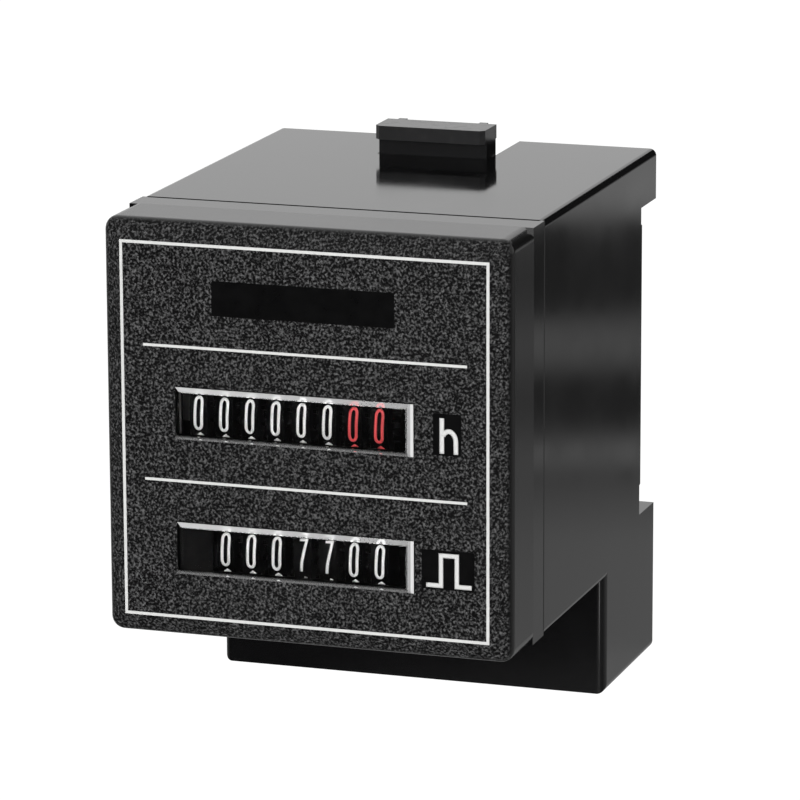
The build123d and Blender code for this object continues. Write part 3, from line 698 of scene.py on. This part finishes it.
def armature_leaf():
    """A strip that lies on the case at its root and rises to the armature at its tip."""
    low, high = (Vector(corner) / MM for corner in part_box("armature_spring"))
    root = high.y - ARMATURE_LEAF
    rise = high.z - low.z - ARMATURE_LEAF
    steps = range(ARMATURE_LEAF_STEPS + 1)
    flat = [high.y] + [root + (low.y - root) * i / ARMATURE_LEAF_STEPS for i in steps]
    slope = [0.0] + [rise * i / ARMATURE_LEAF_STEPS for i in steps]
    sides = [[(high.x, y, low.z + lift + up) for y, up in zip(flat, slope)] for lift in (0.0, ARMATURE_LEAF)]
    leaf_spring("armature_spring", sides, high.x - low.x, (-1, 0, 0))


latch_leaf()
armature_leaf()


# Camera

CAMERA_TARGET = (11.32, FACE_Y, 5.55)
CAMERA_DISTANCE = 0.55593
CAMERA_TURNS = (18.516, 13.305, -0.224)  # yaw, pitch and roll, in degrees
SENSOR_MM = 36.0
FOCAL_LENGTH = 5038.0 / 800.0  # in widths of the picture


def set_camera():
    """Puts the camera where the front shows as in the photograph."""
    yaw, pitch, roll = (math.radians(turn) for turn in CAMERA_TURNS)
    back = Vector((math.sin(yaw) * math.cos(pitch), -math.cos(yaw) * math.cos(pitch), math.sin(pitch)))
    right = Vector((math.cos(yaw), math.sin(yaw), 0.0))
    data = bpy.data.cameras.new("camera")
    data.sensor_width = SENSOR_MM
    data.lens = FOCAL_LENGTH * SENSOR_MM
    data.clip_start = 0.01
    camera = placed("camera", data)
    level = Matrix((right, back.cross(right), back)).transposed()
    turned = (level @ Matrix.Rotation(roll, 3, "Z")).to_4x4()
    camera.matrix_world = Matrix.Translation(Vector(CAMERA_TARGET) * MM + back * CAMERA_DISTANCE) @ turned
    scene.camera = camera


set_camera()


# Stage and light, in metres

FLOOR_Z = -0.30
FLOOR_SIZE = 12.0
GLOW = 0.8  # share of the floor's white that glows; the rest takes the shadow
AHEAD = (-0.35, 0.25)  # the mirrored studio brightens from the front to the rear over these
AMBIENT = 0.22
LAMP_AIM = (0, -0.04, 0)
# tones by height that the glossy side of the case mirrors
SIDE_TONES = ((-0.60, 0.28), (-0.291, 0.29), (-0.264, 0.29), (-0.247, 0.18), (-0.241, 0.08), (-0.237, 0.50),
              (-0.233, 0.16), (-0.228, 0.045), (-0.212, 0.045), (-0.207, 0.27), (-0.197, 0.25), (-0.192, 0.045),
              (-0.166, 0.045), (-0.160, 0.55), (-0.130, 0.40), (-0.04, 0.02), (0.50, 0.02))
FRONT_TONES = ((-0.5, 0.015), (0.5, 0.015))


def seen(f):
    """1 for rays that see the studio straight, and 1 for those that see it in a reflection or through the windows."""
    path = f.node("ShaderNodeLightPath", output="Is Camera Ray")
    mirrored = path.out("Is Glossy Ray").larger(path.out("Is Transmission Ray")) * (path.out("Diffuse Depth") < 0.5)
    return path, mirrored


def pale_floor():
    """Pale floor: white to the eye, with the object's shadow left on it."""
    f = Finish("pale_floor")
    colour = f.tint(f.noise(90.0), (0.86, 0.86, 0.86), (0.90, 0.90, 0.90))
    painted_shade = f.principled(Base_Color=colour, Roughness=0.7)
    straight, mirrored = seen(f)
    level = straight + mirrored * f.spread(f.axis("Y"), *AHEAD, 0.05, 0.3)
    glow = f.node("ShaderNodeEmission", None, {"Color": (1, 1, 1, 1), "Strength": level * (1.0 / GLOW)})
    return f.done(f.mixed((straight + mirrored) * GLOW, painted_shade, glow))


def dark_card(name, tones):
    """Studio card that only shows in reflections; the tones are given by height in metres."""
    f = Finish(name)
    low, high = tones[0][0], tones[-1][0]
    stops = [((z - low) / (high - low), (tone, tone, tone)) for z, tone in tones]
    shade = f.node("ShaderNodeValToRGB", {"stops": stops}, {0: f.spread(f.axis("Z"), low, high)})
    glow = f.node("ShaderNodeEmission", None, {"Color": shade, "Strength": 1.0})
    clear = f.node("ShaderNodeBsdfTransparent")
    return f.done(f.mixed(seen(f)[1], clear, glow))


def card(name, centre, facing, width, height, finish):
    """A flat card in the studio, turned to face a point."""
    bm = bmesh.new()
    bmesh.ops.create_grid(bm, x_segments=1, y_segments=1, size=0.5)
    bmesh.ops.scale(bm, vec=(width, height, 1), verts=bm.verts)
    turn = (Vector(facing) - Vector(centre)).to_track_quat("Z", "Y").to_matrix().to_4x4()
    bmesh.ops.transform(bm, matrix=Matrix.Translation(centre) @ turn, verts=bm.verts)
    made = built(name, bm, finish)
    return made


def light_world():
    """Pale surroundings: white to the eye, dim as light, and darker in front and low down where they are mirrored."""
    world = bpy.data.worlds.new("studio")
    scene.world = world
    world.use_nodes = True
    w = Finish("studio", world.node_tree)
    way = w.node("ShaderNodeTexCoord", output="Generated")
    front = w.spread(w.axis("Z", way), 0.28, 0.6, 0.12, 0.7)
    straight, mirrored = seen(w)
    mirror_level = w.spread(w.axis("Y", way), *AHEAD, front, 0.9)
    level = AMBIENT + straight * (1.0 - AMBIENT) + mirrored * (mirror_level - AMBIENT)
    sky = w.node("ShaderNodeBackground", None, {"Color": (1, 1, 1, 1), "Strength": level})
    w.node("ShaderNodeOutputWorld", None, {"Surface": sky})


def softbox(name, place, width, height, watts):
    """A rectangular lamp aimed at the object."""
    lamp = bpy.data.lights.new(name, "AREA")
    lamp.shape = "RECTANGLE"
    lamp.size = width
    lamp.size_y = height
    lamp.energy = watts
    aim = (Vector(LAMP_AIM) - Vector(place)).to_track_quat("-Z", "Y").to_matrix().to_4x4()
    placed(name, lamp).matrix_world = Matrix.Translation(place) @ aim


card("floor", (0, 0, FLOOR_Z), (0, 0, 1), FLOOR_SIZE, FLOOR_SIZE, pale_floor())
for name, centre, width, height, tones in (
        ("side_flag", (0.42, 0.80, -0.05), 0.84, 1.10, SIDE_TONES),
        ("front_flag", (-0.50, -0.68, -0.17), 1.10, 0.46, FRONT_TONES)):
    flag = card(name, centre, (0, -0.03, centre[2]), width, height, dark_card(name, tones))
    flag.visible_camera = False
    flag.visible_diffuse = False
    flag.visible_shadow = False
light_world()
softbox("key", (0.22, -1.0, 0.24), 0.56, 0.44, 8.0)
softbox("high_strip", (-0.33, -0.75, 0.66), 0.32, 0.16, 0.9)
softbox("low_right", (0.34, -0.93, -0.21), 0.20, 0.26, 0.5)

scene.view_settings.view_transform = "Standard"
scene.cycles.blur_glossy = 0.05  # so that the lamps reach the numerals through the windows
